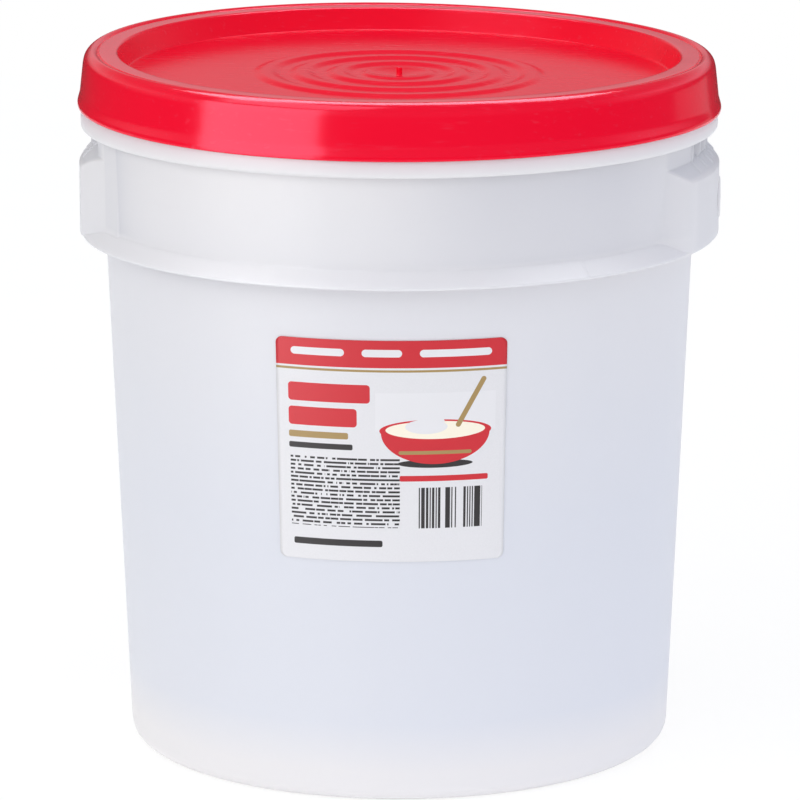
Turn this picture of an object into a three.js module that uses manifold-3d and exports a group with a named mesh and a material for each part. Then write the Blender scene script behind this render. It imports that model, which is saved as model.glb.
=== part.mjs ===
// Food-service pail of natural polyethylene, with a press-on lid and a paper label.
// Millimetres, +Z up. The origin is on the floor under the middle of the base, and the label faces -Y.
import * as THREE from "three";
import { mergeVertices } from "three/addons/utils/BufferGeometryUtils.js";
import Module from "manifold-3d";

const wasm = await Module();
wasm.setup();

// Facets of everything that is turned about the axis, and of its rounded edges
const SIDES = 72;
const FILLET_STEPS = 5;
const BEAD_STEPS = 3;
const EDGE_STEPS = 2;
const MERGE_DISTANCE = 1e-3;

// Pail wall and base
const WALL_FOOT_RADIUS = 129.65; // where the line of the wall would meet the floor
const WALL_TAPER = 0.041; // radius gained for each millimetre of height
const BASE_FILLET = 10;
const BASE_PANEL_RADIUS = 109;
const BASE_PANEL_LIFT = 2.5;
const BASE_PANEL_SLOPE = 3;

// Ledge ring and the collar above it
const LEDGE_RADIUS = 151.2;
const LEDGE_UNDERSIDE = 246.4;
const LEDGE_EDGE = 1.2;
const LEDGE_ROUND = 0.5;
const COLLAR_FOOT_RADIUS = 144.2;
const COLLAR_FOOT_HEIGHT = 254.2;

// Flange under the lid, and the rim that the lid grips
const FLANGE_RADIUS = 151.1;
const FLANGE_UNDERSIDE = 297.4;
const FLANGE_TOP = 307.4;
const FLANGE_BEAD = 1.6;
const RIM_OUTER_RADIUS = 148.3;
const RIM_INNER_RADIUS = 141;
const RIM_TOP = 325;
const RIM_CHAMFER = 1.5;
const CONTENTS_TOP = 315;

// Carrying ears with a rounded, ribbed top; angles run about +Z from the middle of the ear
const EAR_TURN = -5.5; // degrees from +X to the middle of the first ear
const EAR_RADIUS = 152.1;
const EAR_FOOT = 246.9;
// [radius, height] along the top, from inside the collar to clear of the ear's face
const EAR_SHOULDER = [
  [139, 292],
  [144.5, 288.4],
  [146.9, 286.6],
  [149, 284.6],
  [150.9, 282.2],
  [152.1, 280.6],
  [154, 277.6],
];
const EAR_RAMP = { start: -28.8, end: -20.5, steps: 6 };
const EAR_FACE_END = 14.6;
const EAR_END_FACETS = [
  { angle: 24.2, radius: 145.4 },
  { angle: 30.6, radius: 145.2 },
  { angle: 32, radius: 144 },
];
const EAR_ARC_STEPS = 7;
const EAR_ROOT_RADIUS = 141; // inside the collar
// The wall is set back behind the ribs, between the ear's top and the flange
const EAR_POCKET = { start: -14, end: 19, steps: 6, radius: 142.6 };
const RIB = { angles: [-15.3, -10.3, -5.3, -0.3, 4.7, 9.7], thickness: 1.6, foot: 270, proud: 0.8 };
const STRIP_RADIUS = 146.4; // the rib's upper end, from the ear's top to the flange
const HUB = { radius: 9.7, reach: 152.6, depth: 4, height: 264.4, sides: 24 };
const HUB_HOLE = { radius: 3.2, depth: 2.2, sides: 16 };

// Lid; the heights are those at its middle, before it is tilted and twisted
const LID_RIM_TOP = 331.7; // the flat of the rim, between the recess and the groove
const LID_BOTTOM = 306.5;
const LID_EDGE_RADIUS = 152.6;
const LID_EDGE_ROUND = 0.5;
const LID_GROOVE = { radius: 142.6, half: 0.6, depth: 0.8 };
// [radius, height] from the groove over the raised bead, and down the skirt to its flared edge
const LID_BEAD_AND_SKIRT = [
  [143.2, 331.7],
  [144.3, 332.2],
  [145.6, 332.4],
  [147, 331.7],
  [148.2, 330.6],
  [149.2, 329.1],
  [149.8, 326.7],
  [151.4, 312.6],
  [151.7, 311.2],
  [152.2, 309.8],
  [152.6, 308.4],
];
const LID_INNER_STEP = { bottom: 308.9, top: 310.7 }; // the skirt's inside steps in above the flange
const LID_RECESS_RADIUS = 133.4;
const LID_RECESS_EDGE_ROUND = 1.2;
const LID_RECESS_DEPTH = 10.8;
const LID_FLOOR_RADIUS = 128.7;
const LID_FLOOR_ROUND = 1.2;
const LID_WALL = 2.6;
const LID_PAIL_GAP = 0.4;
const LID_TILT = 1.1; // the lid sits this much high at the back and low at the front
const LID_TWIST = 1.35; // and this much high at one side and low at the other
const RING = { first: 16.4, pitch: 8.47, count: 7, half: 2.6, rise: 1 };
const GATE = { radius: 1.4, height: 3.2, dish: -0.3 };

// Label
const LABEL_WIDTH = 103.6; // straight across the front
const LABEL_BOTTOM = 116.7;
const LABEL_TOP = 221;
const LABEL_CORNER = 3;
const LABEL_CORNER_STEPS = 3;
const LABEL_TURN = -1.6; // degrees about +Z, towards the pail's right-hand side
const LABEL_GAP = 0.3;
const LABEL_THICKNESS = 0.4;

const radians = THREE.MathUtils.degToRad;
const wallRadius = (z) => WALL_FOOT_RADIUS + WALL_TAPER * z;
const collarRadius = (z) => COLLAR_FOOT_RADIUS + WALL_TAPER * (z - COLLAR_FOOT_HEIGHT);

// A point in plan, at an angle in degrees about +Z.
function polar(angle, radius) {
  return new THREE.Vector2(radius * Math.cos(radians(angle)), radius * Math.sin(radians(angle)));
}

// Points along an arc in the section plane, from one angle to another in degrees.
function arc(centreR, centreZ, radius, from, to, steps) {
  return Array.from({ length: steps + 1 }, (_, i) => {
    const angle = radians(from + ((to - from) * i) / steps);
    return [centreR + radius * Math.cos(angle), centreZ + radius * Math.sin(angle)];
  });
}

// A geometry with only positions, its shared corners merged, as a closed solid.
function solidFrom(geometry) {
  const bare = new THREE.BufferGeometry();
  bare.setAttribute("position", geometry.getAttribute("position"));
  bare.setIndex(geometry.getIndex());
  const merged = mergeVertices(bare, MERGE_DISTANCE);
  const corners = [];
  const index = merged.getIndex().array;
  for (let i = 0; i < index.length; i += 3) {
    const [a, b, c] = index.slice(i, i + 3);
    if (a !== b && b !== c && c !== a) corners.push(a, b, c);
  }
  return new wasm.Manifold(
    new wasm.Mesh({
      numProp: 3,
      vertProperties: new Float32Array(merged.getAttribute("position").array),
      triVerts: new Uint32Array(corners),
    }),
  );
}

// A closed solid as a geometry again.
function geometryFrom(solid) {
  const { vertProperties, triVerts } = solid.getMesh();
  const geometry = new THREE.BufferGeometry();
  geometry.setAttribute("position", new THREE.BufferAttribute(vertProperties, 3));
  geometry.setIndex(new THREE.BufferAttribute(triVerts, 1));
  geometry.computeVertexNormals();
  return geometry;
}

// A section of [radius, height] points turned about +Z; it runs upwards on its outer side.
function turned(section) {
  const points = section.map(([r, z]) => new THREE.Vector2(r, z));
  return solidFrom(new THREE.LatheGeometry(points, SIDES).rotateX(Math.PI / 2));
}

// A plan outline raised from one height to another.
function raised(outline, bottom, top) {
  const shape = new THREE.Shape(outline);
  const geometry = new THREE.ExtrudeGeometry(shape, { depth: top - bottom, bevelEnabled: false });
  return solidFrom(geometry.translate(0, 0, bottom));
}

// The same solid at both ears.
function atBothEars(solid) {
  return [0, 180].map((turn) => solidFrom(geometryFrom(solid).rotateZ(radians(EAR_TURN + turn))));
}

// Section of the pail: base panel, wall, ledge ring, collar, flange and the rim inside the lid.
function pailSection() {
  const footRadius = wallRadius(BASE_FILLET) - BASE_FILLET;
  const wallTop = wallRadius(LEDGE_UNDERSIDE);
  const beadCentre = [FLANGE_RADIUS - FLANGE_BEAD, FLANGE_UNDERSIDE + FLANGE_BEAD];
  return [
    [0, BASE_PANEL_LIFT],
    [BASE_PANEL_RADIUS, BASE_PANEL_LIFT],
    [BASE_PANEL_RADIUS + BASE_PANEL_SLOPE, 0],
    ...arc(footRadius, BASE_FILLET, BASE_FILLET, -90, 0, FILLET_STEPS),
    [wallTop, LEDGE_UNDERSIDE],
    [LEDGE_RADIUS - LEDGE_ROUND, LEDGE_UNDERSIDE],
    [LEDGE_RADIUS, LEDGE_UNDERSIDE + LEDGE_ROUND],
    [LEDGE_RADIUS, LEDGE_UNDERSIDE + LEDGE_EDGE],
    [COLLAR_FOOT_RADIUS, COLLAR_FOOT_HEIGHT],
    [collarRadius(FLANGE_UNDERSIDE), FLANGE_UNDERSIDE],
    ...arc(...beadCentre, FLANGE_BEAD, -90, 0, BEAD_STEPS),
    [FLANGE_RADIUS, FLANGE_TOP],
    [RIM_OUTER_RADIUS, FLANGE_TOP + RIM_CHAMFER],
    [RIM_OUTER_RADIUS, RIM_TOP - RIM_CHAMFER],
    [RIM_OUTER_RADIUS - RIM_CHAMFER, RIM_TOP],
    [RIM_INNER_RADIUS + RIM_CHAMFER, RIM_TOP],
    [RIM_INNER_RADIUS, RIM_TOP - RIM_CHAMFER],
    [RIM_INNER_RADIUS, CONTENTS_TOP],
    [0, CONTENTS_TOP],
  ];
}

// Plan of one ear: a smooth ramp out of the collar, the round face, then flat facets back to the collar.
function earPlan() {
  const { start, end, steps } = EAR_RAMP;
  const depth = EAR_RADIUS - COLLAR_FOOT_RADIUS;
  const ramp = Array.from({ length: steps }, (_, i) => {
    const reach = THREE.MathUtils.smoothstep(i / steps, 0, 1);
    return polar(start + ((end - start) * i) / steps, COLLAR_FOOT_RADIUS + depth * reach);
  });
  const face = Array.from({ length: EAR_ARC_STEPS + 1 }, (_, i) =>
    polar(end + ((EAR_FACE_END - end) * i) / EAR_ARC_STEPS, EAR_RADIUS),
  );
  const facets = EAR_END_FACETS.map(({ angle, radius }) => polar(angle, radius));
  const root = [EAR_END_FACETS.at(-1).angle, 0, start].map((angle) => polar(angle, EAR_ROOT_RADIUS));
  return [...ramp, ...face, ...facets, ...root];
}

// Everything above the ear's rounded top, lifted by a given amount.
function aboveEarTop(lift) {
  const top = EAR_SHOULDER.map(([r, z]) => [r, z + lift]);
  const inner = EAR_SHOULDER[0][0];
  const outer = EAR_SHOULDER.at(-1)[0];
  return turned([...top, [outer, FLANGE_TOP], [inner, FLANGE_TOP], top[0]]);
}

// The hollow between an ear's top and the flange, out from the wall that is set back.
function earPocket() {
  const { start, end, steps, radius } = EAR_POCKET;
  const angles = Array.from({ length: steps + 1 }, (_, i) => start + ((end - start) * i) / steps);
  const back = angles.map((angle) => polar(angle, radius));
  const front = angles.reverse().map((angle) => polar(angle, LEDGE_RADIUS));
  return raised([...back, ...front], EAR_FOOT, FLANGE_UNDERSIDE).intersect(aboveEarTop(0));
}

// A radial plate that reaches out from inside the collar.
function plate(angle, outer, top) {
  const height = top - RIB.foot;
  const box = new THREE.BoxGeometry(outer - EAR_ROOT_RADIUS, RIB.thickness, height);
  box.translate((EAR_ROOT_RADIUS + outer) / 2, 0, RIB.foot + height / 2);
  return solidFrom(box.rotateZ(radians(angle)));
}

// A rib that stands proud of the ear's top, with its narrow upper end that props the flange.
function rib(angle) {
  const crest = plate(angle, EAR_RADIUS - RIB.thickness, FLANGE_UNDERSIDE);
  const strip = plate(angle, STRIP_RADIUS, FLANGE_UNDERSIDE + FLANGE_BEAD);
  return crest.subtract(aboveEarTop(RIB.proud)).add(strip);
}

// A round disc on an ear's face, its axis pointing outwards.
function disc(radius, from, depth, sides) {
  const round = new THREE.CylinderGeometry(radius, radius, depth, sides).rotateZ(Math.PI / 2);
  return solidFrom(round.translate(from + depth / 2, 0, HUB.height));
}

function pailSolid() {
  const block = raised(earPlan(), EAR_FOOT, FLANGE_TOP).subtract(aboveEarTop(0));
  const hub = disc(HUB.radius, HUB.reach - HUB.depth, HUB.depth, HUB.sides);
  const hole = disc(HUB_HOLE.radius, HUB.reach - HUB_HOLE.depth, HUB.depth, HUB_HOLE.sides);
  const ear = block.add(hub).subtract(hole);
  const pieces = [ear, ...RIB.angles.map(rib)].flatMap(atBothEars);
  const body = atBothEars(earPocket()).reduce((rest, pocket) => rest.subtract(pocket), turned(pailSection()));
  return pieces.reduce((pail, piece) => pail.add(piece), body);
}

// The lid's floor from its centre outwards: gate nub, shallow dish and concentric ripples.
function floorSection(floor) {
  const points = [
    [0, floor + GATE.height],
    [GATE.radius, floor + GATE.height],
    [GATE.radius, floor + GATE.dish],
  ];
  for (let i = 0; i < RING.count; i++) {
    const flank = RING.first + RING.pitch * i;
    const [inside, outside] = i % 2 ? [0, RING.rise] : [RING.rise, 0];
    points.push([flank - RING.half, floor + inside], [flank + RING.half, floor + outside]);
  }
  return points;
}

// Section of the lid: top face from the centre outwards, skirt, then the underside back to the centre.
function lidSection() {
  const floor = LID_RIM_TOP - LID_RECESS_DEPTH;
  const recessEdge = [LID_RECESS_RADIUS + LID_RECESS_EDGE_ROUND, LID_RIM_TOP - LID_RECESS_EDGE_ROUND];
  const skirtInner = FLANGE_RADIUS + LID_PAIL_GAP;
  const rimInner = RIM_OUTER_RADIUS + LID_PAIL_GAP;
  const underRim = LID_RIM_TOP - LID_WALL;
  const top = [
    ...floorSection(floor),
    [LID_FLOOR_RADIUS, floor],
    [LID_FLOOR_RADIUS + LID_FLOOR_ROUND, floor + LID_FLOOR_ROUND],
    ...arc(...recessEdge, LID_RECESS_EDGE_ROUND, 180, 90, EDGE_STEPS),
    [LID_GROOVE.radius - LID_GROOVE.half, LID_RIM_TOP],
    [LID_GROOVE.radius, LID_RIM_TOP - LID_GROOVE.depth],
  ];
  const skirt = [
    ...LID_BEAD_AND_SKIRT,
    [LID_EDGE_RADIUS, LID_BOTTOM + LID_EDGE_ROUND],
    [LID_EDGE_RADIUS - LID_EDGE_ROUND, LID_BOTTOM],
  ];
  const underside = [
    [skirtInner, LID_BOTTOM],
    [skirtInner, LID_INNER_STEP.bottom],
    [rimInner, LID_INNER_STEP.top],
    [rimInner, underRim - RIM_CHAMFER],
    [rimInner - RIM_CHAMFER, underRim],
    [LID_RECESS_RADIUS + LID_WALL + RIM_CHAMFER, underRim],
    [LID_FLOOR_RADIUS + LID_FLOOR_ROUND + LID_WALL, floor],
    [LID_FLOOR_RADIUS + LID_FLOOR_ROUND, floor - LID_WALL],
    [0, floor - LID_WALL],
  ];
  return [...top, ...skirt, ...underside].reverse();
}

// The lid as it sits: tilted up at the back, with a gentle twist that lifts the back at -X.
function lidGeometry() {
  const geometry = geometryFrom(turned(lidSection()));
  const position = geometry.getAttribute("position");
  for (let i = 0; i < position.count; i++) {
    const across = position.getX(i) / LID_EDGE_RADIUS;
    const along = position.getY(i) / LID_EDGE_RADIUS;
    const lift = LID_TILT * along - LID_TWIST * across * (1 + along);
    position.setZ(i, position.getZ(i) + lift);
  }
  return geometry;
}

// The label: a thin skin round the wall, cut out by a rectangle with round corners.
function labelSolid() {
  const skin = [
    [LABEL_GAP, LABEL_BOTTOM - LABEL_CORNER],
    [LABEL_GAP + LABEL_THICKNESS, LABEL_BOTTOM - LABEL_CORNER],
    [LABEL_GAP + LABEL_THICKNESS, LABEL_TOP + LABEL_CORNER],
    [LABEL_GAP, LABEL_TOP + LABEL_CORNER],
    [LABEL_GAP, LABEL_BOTTOM - LABEL_CORNER],
  ].map(([lift, z]) => [wallRadius(z) + lift, z]);
  const side = LABEL_WIDTH / 2 - LABEL_CORNER;
  const outline = [
    ...arc(side, LABEL_BOTTOM + LABEL_CORNER, LABEL_CORNER, -90, 0, LABEL_CORNER_STEPS),
    ...arc(side, LABEL_TOP - LABEL_CORNER, LABEL_CORNER, 0, 90, LABEL_CORNER_STEPS),
    ...arc(-side, LABEL_TOP - LABEL_CORNER, LABEL_CORNER, 90, 180, LABEL_CORNER_STEPS),
    ...arc(-side, LABEL_BOTTOM + LABEL_CORNER, LABEL_CORNER, 180, 270, LABEL_CORNER_STEPS),
  ].map(([x, z]) => new THREE.Vector2(x, z));
  const cut = new THREE.ExtrudeGeometry(new THREE.Shape(outline), {
    depth: LEDGE_RADIUS,
    bevelEnabled: false,
  });
  return turned(skin).intersect(solidFrom(cut.rotateX(Math.PI / 2)));
}

// A named sub-part with its own finish.
function subPart(name, geometry, finish) {
  const mesh = new THREE.Mesh(geometry, new THREE.MeshStandardMaterial(finish));
  mesh.name = name;
  return mesh;
}

const pail = subPart("pail", geometryFrom(pailSolid()), { color: 0xe9ebef, roughness: 0.42, metalness: 0 });
const lid = subPart("lid", lidGeometry(), { color: 0xe31a2c, roughness: 0.34, metalness: 0 });
const label = subPart("label", geometryFrom(labelSolid()), { color: 0xf4f2f2, roughness: 0.5, metalness: 0 });
label.rotation.z = radians(LABEL_TURN);

const pack = new THREE.Group();
pack.add(pail, lid, label);

export default pack;
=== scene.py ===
"""Looks of a large food-service pail with a press-on lid and a printed paper label.

Sizes are millimetres in the pail's own frame, +Z up and the label facing -Y. The meshes are in metres.
"""

from __future__ import annotations

import logging
import math
from dataclasses import dataclass
from enum import Enum
from typing import ClassVar

import bpy
import numpy as np
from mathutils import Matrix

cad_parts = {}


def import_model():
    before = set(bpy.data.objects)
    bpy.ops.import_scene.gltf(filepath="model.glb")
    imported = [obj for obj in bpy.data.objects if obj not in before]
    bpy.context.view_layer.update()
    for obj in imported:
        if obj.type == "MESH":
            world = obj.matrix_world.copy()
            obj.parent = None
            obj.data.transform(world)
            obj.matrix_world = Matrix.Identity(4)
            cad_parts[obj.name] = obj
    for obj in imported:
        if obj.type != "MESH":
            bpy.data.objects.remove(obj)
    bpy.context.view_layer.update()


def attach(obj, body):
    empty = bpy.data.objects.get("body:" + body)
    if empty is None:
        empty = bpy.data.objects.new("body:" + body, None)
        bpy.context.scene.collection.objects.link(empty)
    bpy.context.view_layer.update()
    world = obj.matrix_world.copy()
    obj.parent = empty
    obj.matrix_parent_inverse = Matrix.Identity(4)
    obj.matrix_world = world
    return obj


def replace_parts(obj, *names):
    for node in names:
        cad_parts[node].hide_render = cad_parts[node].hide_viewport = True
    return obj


MM = 0.001
BODY = "root"
LOG = logging.getLogger("pail")


class Role(Enum):
    """What a lamp does."""

    GLEAM = "shows only as a gleam on glossy faces"
    FILL = "gives only soft light"


class Shape(Enum):
    """Forms that the label's print is made of."""

    BAR = "rectangle with round corners"
    DISC = "ellipse"
    LINES = "rows of short dashes, as small print"
    STRIPES = "upright stripes of varied width"


class Ink(Enum):
    """Colours of the label's print, as sRGB hex."""

    RED = "CF1F2C"
    DARK = "2A2627"
    GOLD = "A88B55"
    PAPER = "E7E6E8"
    CREAM = "FBF3DF"


def linear(code: str) -> tuple[float, float, float, float]:
    """Turn an sRGB hex colour into linear light.

    Args:
        code: six hex digits.

    Returns:
        Red, green, blue and an alpha of one.
    """
    srgb = np.array([int(code[i : i + 2], 16) for i in (0, 2, 4)]) / 255.0
    light = np.where(srgb <= 0.04045, srgb / 12.92, ((srgb + 0.055) / 1.055) ** 2.4)
    return (*map(float, light), 1.0)


def put(
    tree: bpy.types.NodeTree, kind: str, inputs: dict | None = None, **settings: object
) -> bpy.types.Node:
    """Add a node with its settings, and fill its inputs.

    Args:
        tree: the node tree that gets the node.
        kind: Blender's name for the node's type, after ShaderNode.
        inputs: values, sockets, or nodes for their first output, keyed by the input's name or number.
        settings: properties of the node itself.

    Returns:
        The new node.
    """
    node = tree.nodes.new("ShaderNode" + kind)
    for key, value in settings.items():
        setattr(node, key, value)
    for key, value in (inputs or {}).items():
        source = value.outputs[0] if isinstance(value, bpy.types.Node) else value
        if isinstance(source, bpy.types.NodeSocket):
            tree.links.new(source, node.inputs[key])
        else:
            node.inputs[key].default_value = value
    return node


def new_material(name: str) -> tuple[bpy.types.Material, bpy.types.NodeTree]:
    """Make an empty node material.

    Args:
        name: what the real material is.

    Returns:
        The material and its cleared node tree.
    """
    material = bpy.data.materials.new(name)
    material.use_nodes = True
    material.node_tree.nodes.clear()
    return material, material.node_tree


def surface_of(tree: bpy.types.NodeTree, shader: bpy.types.Node) -> None:
    """Lead a shader to the material's output."""
    put(tree, "OutputMaterial", {"Surface": shader})


@dataclass(frozen=True)
class NaturalPolyethylene:
    """Uncoloured high-density polyethylene, injection moulded, over white contents.

    It is cloudy white with a cool cast, lets light wander below its skin so that shade stays soft, and has
    a satin face with the mould's fine grain. Its colour also holds painted light: painted shade that
    darkens and cools it towards the bottom, a painted reflection of the floor that pales the foot, a pink
    tint under the lid as painted red light and painted shade from the lid, and painted shade beside and
    over the ears.
    """

    light: str = "E7E5E6"
    cool: str = "DCDEE5"
    # Painted shade: the colour turns to the cool, darker white from the first height down to the second
    shade_below_mm: tuple[float, float] = (300.0, 130.0)
    # Painted reflection of the floor: the foot pales back to the light white below the first height
    floor_reflection_mm: tuple[float, float] = (38.0, 14.0)
    # Painted red light and painted shade from the lid, over the flange between these heights
    under_lid_paint: str = "E3D3D9"
    under_lid_paint_mm: tuple[float, float] = (299.0, 307.0)
    # Painted shade: the grey that the painted-shade point attribute mixes in beside and over the ears
    shade_paint: str = "C4C5CD"
    roughness: float = 0.4
    gloss_swing: tuple[float, float] = (-0.05, 0.06)
    cloud_mm: float = 85.0
    cloud_swing: float = 0.15
    streak_mm: float = 9.0
    streak_stretch: float = 30.0
    # The mould's grain is finer, and is drawn coarse enough to show
    grain_mm: float = 1.1
    grain_depth_mm: float = 0.3
    grain_strength: float = 0.06
    ior: float = 1.54
    shine: float = 0.4
    scatter_mm: float = 4.0
    scatter: float = 0.3

    def between(self, height: bpy.types.NodeSocket, ends: tuple[float, float]) -> dict[str, object]:
        """Give a map range's inputs: zero at the first height in millimetres, one at the second."""
        return {"Value": height, "From Min": ends[0] * MM, "From Max": ends[1] * MM}

    def material(self) -> bpy.types.Material:
        """Build the material: tints, painted shade and painted reflection in colour, flow streaks in gloss
        and the grain in bump.
        """
        material, tree = new_material("natural_polyethylene_moulded")
        place = put(tree, "TexCoord").outputs["Object"]
        height = put(tree, "SeparateXYZ", {0: place}).outputs["Z"]
        cloud = put(tree, "TexNoise", {"Vector": place, "Scale": 1 / (self.cloud_mm * MM), "Detail": 3.0})
        drift = put(
            tree,
            "Math",
            {0: cloud, 1: 2 * self.cloud_swing, 2: -self.cloud_swing},
            operation="MULTIPLY_ADD",
        )
        # Painted shade: darker and cooler towards the bottom of the wall
        shade_below = put(tree, "MapRange", self.between(height, self.shade_below_mm))
        # Painted reflection of the floor: paler again at the foot
        foot = put(tree, "MapRange", self.between(height, self.floor_reflection_mm))
        above = put(tree, "Math", {0: shade_below, 1: foot}, operation="SUBTRACT")
        share = put(tree, "Math", {0: above, 1: drift}, operation="ADD", use_clamp=True)
        white = put(tree, "Mix", {0: share, 6: linear(self.light), 7: linear(self.cool)}, data_type="RGBA")
        # Painted red light and painted shade from the lid over the flange
        near_lid = put(tree, "MapRange", self.between(height, self.under_lid_paint_mm))
        rosy = put(tree, "Mix", {0: near_lid, 6: white.outputs[2], 7: linear(self.under_lid_paint)}, data_type="RGBA")
        # Painted shade beside and over the ears, from the pail's point attribute
        painted_shade = put(tree, "Attribute", attribute_name=Pail.shade_name)
        tint = put(
            tree,
            "Mix",
            {0: painted_shade.outputs["Fac"], 6: rosy.outputs[2], 7: linear(self.shade_paint)},
            data_type="RGBA",
        )
        across = 1 / (self.streak_mm * MM)
        flow = put(
            tree,
            "Mapping",
            {"Vector": place, "Scale": (across, across, across / self.streak_stretch)},
        )
        streak = put(tree, "TexNoise", {"Vector": flow, "Scale": 1.0, "Detail": 2.0})
        low, high = (self.roughness + swing for swing in self.gloss_swing)
        gloss = put(tree, "MapRange", {"Value": streak, "To Min": low, "To Max": high})
        grain = put(tree, "TexNoise", {"Vector": place, "Scale": 1 / (self.grain_mm * MM), "Detail": 2.0})
        bump = put(
            tree,
            "Bump",
            {"Height": grain, "Strength": self.grain_strength, "Distance": self.grain_depth_mm * MM},
        )
        shader = put(
            tree,
            "BsdfPrincipled",
            {
                "Base Color": tint.outputs[2],
                "Roughness": gloss,
                "IOR": self.ior,
                "Specular IOR Level": self.shine,
                "Subsurface Weight": self.scatter,
                "Subsurface Radius": (1.0, 1.0, 1.0),
                "Subsurface Scale": self.scatter_mm * MM,
                "Normal": bump,
            },
        )
        surface_of(tree, shader)
        return material


@dataclass(frozen=True)
class RedPolyethylene:
    """Red linear polyethylene, injection moulded, as in press-on lids.

    It is a deep red with a waxy gloss that wavers a little, and stacking leaves fine dull rubs on it.
    """

    name: str
    roughness: float
    shine: float
    red: str = "F70F2F"
    rubbed: str = "F03A50"
    gleam: str = "FFC4EC"
    ior: float = 1.5
    waver_mm: float = 38.0
    waver_depth_mm: float = 1.0
    waver_strength: float = 0.25
    # The mould's grain is finer, and is drawn coarse enough to show
    grain_mm: float = 0.9
    grain_depth_mm: float = 0.2
    grain_strength: float = 0.05
    rub_mm: float = 2.2
    rub_stretch: float = 16.0
    rub_shows: tuple[float, float] = (0.6, 0.76)
    rub_most: float = 0.35
    rub_dulls: float = 0.3

    def material(self) -> bpy.types.Material:
        """Build the material: rubs in colour and gloss, waver and grain in bump."""
        material, tree = new_material(self.name)
        place = put(tree, "TexCoord").outputs["Object"]
        across = 1 / (self.rub_mm * MM)
        drag = put(tree, "Mapping", {"Vector": place, "Scale": (across / self.rub_stretch, across, across)})
        rub = put(tree, "TexNoise", {"Vector": drag, "Scale": 1.0, "Detail": 3.0})
        faint, plain = self.rub_shows
        worn = put(
            tree,
            "MapRange",
            {"Value": rub, "From Min": faint, "From Max": plain, "To Max": self.rub_most},
        )
        colour = put(tree, "Mix", {0: worn, 6: linear(self.red), 7: linear(self.rubbed)}, data_type="RGBA")
        gloss = put(
            tree,
            "MapRange",
            {"Value": worn, "To Min": self.roughness, "To Max": self.roughness + self.rub_dulls},
        )
        waver = put(tree, "TexNoise", {"Vector": place, "Scale": 1 / (self.waver_mm * MM), "Detail": 1.0})
        ripple = put(
            tree,
            "Bump",
            {"Height": waver, "Strength": self.waver_strength, "Distance": self.waver_depth_mm * MM},
        )
        grain = put(tree, "TexNoise", {"Vector": place, "Scale": 1 / (self.grain_mm * MM), "Detail": 2.0})
        bump = put(
            tree,
            "Bump",
            {
                "Height": grain,
                "Strength": self.grain_strength,
                "Distance": self.grain_depth_mm * MM,
                "Normal": ripple,
            },
        )
        shader = put(
            tree,
            "BsdfPrincipled",
            {
                "Base Color": colour.outputs[2],
                "Roughness": gloss,
                "IOR": self.ior,
                "Specular IOR Level": self.shine,
                "Specular Tint": linear(self.gleam),
                "Normal": bump,
            },
        )
        surface_of(tree, shader)
        return material


@dataclass(frozen=True)
class PrintPatch:
    """One form of the label's print, placed in millimetres from the label's middle."""

    shape: Shape
    ink: Ink
    centre: tuple[float, float]
    half: tuple[float, float]
    corner: float = 0.0
    turn: float = 0.0


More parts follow.
